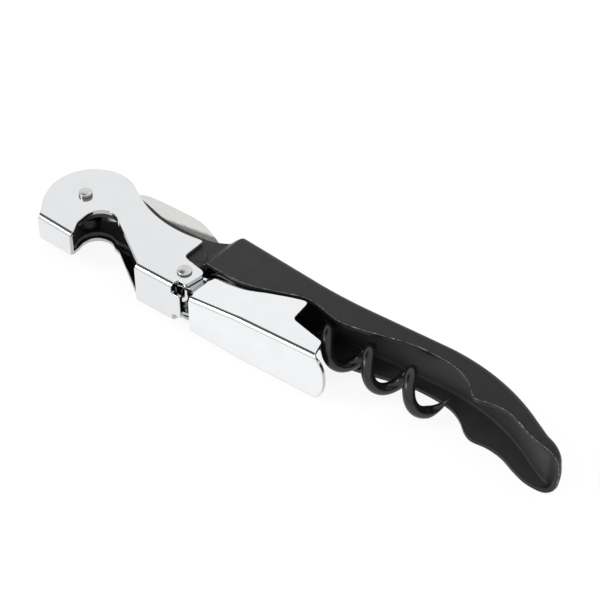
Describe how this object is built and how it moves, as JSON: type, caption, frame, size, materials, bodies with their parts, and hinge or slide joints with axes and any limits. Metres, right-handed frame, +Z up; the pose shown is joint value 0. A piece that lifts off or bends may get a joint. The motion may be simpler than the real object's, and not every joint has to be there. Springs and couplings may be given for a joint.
{
  "type": "lever corkscrew",
  "caption": "Folding lever corkscrew with a double-hinged bottle lever, a wire worm, a crown cap notch and a serrated foil knife, folded shut on its side.",
  "frame": {"origin": "middle of the folded object's footprint, at the bottom, with the object lying on its side", "axes": "+X from the lever's head to the tail, +Y from the lever's side to the spine, +Z up through the thickness and along every hinge"},
  "size_m": [0.1184, 0.0228, 0.011],
  "materials": {
    "coating": "satin black coating, fine grain, worn edges",
    "lever_chrome": "bright chrome plate over pressed steel",
    "rivet_steel": "cut and peened steel",
    "worm_coating": "glossy black non-stick coating",
    "blade_steel": "fine brushed stainless steel"
  },
  "bodies": {
    "body": {"handle": "coating", "head_rivet": "rivet_steel", "worm_rivet": "coating", "worm_spacers": "rivet_steel", "knife_washers": "rivet_steel"},
    "first_stage": {"first_stage_lever": "lever_chrome", "lever_rivet": "lever_chrome", "lever_sleeve": "lever_chrome"},
    "second_stage": {"second_stage_lever": "lever_chrome"},
    "worm": {"worm": "worm_coating"},
    "knife": {"knife_blade": "blade_steel"}
  },
  "joints": [
    {"name": "lever_hinge", "type": "hinge", "parent": "body", "child": "first_stage", "pos_m": [-0.05142, -0.0008, 0.0055], "axis": [0, 0, 1], "range_deg": [-180, 0]},
    {"name": "second_stage_hinge", "type": "hinge", "parent": "first_stage", "child": "second_stage", "pos_m": [-0.02082, -0.0048, 0.0055], "axis": [0, 0, 1], "range_deg": [-40, 0]},
    {"name": "worm_hinge", "type": "hinge", "parent": "body", "child": "worm", "pos_m": [-0.02202, 0.0009, 0.0055], "axis": [0, 0, 1], "range_deg": [-90, 0]},
    {"name": "knife_hinge", "type": "hinge", "parent": "body", "child": "knife", "pos_m": [-0.05142, -0.0008, 0.0055], "axis": [0, 0, 1], "range_deg": [0, 165]}
  ],
  "couplings": [
    {"joint": "worm_hinge", "follows": "lever_hinge", "ratio": 0.5}
  ]
}
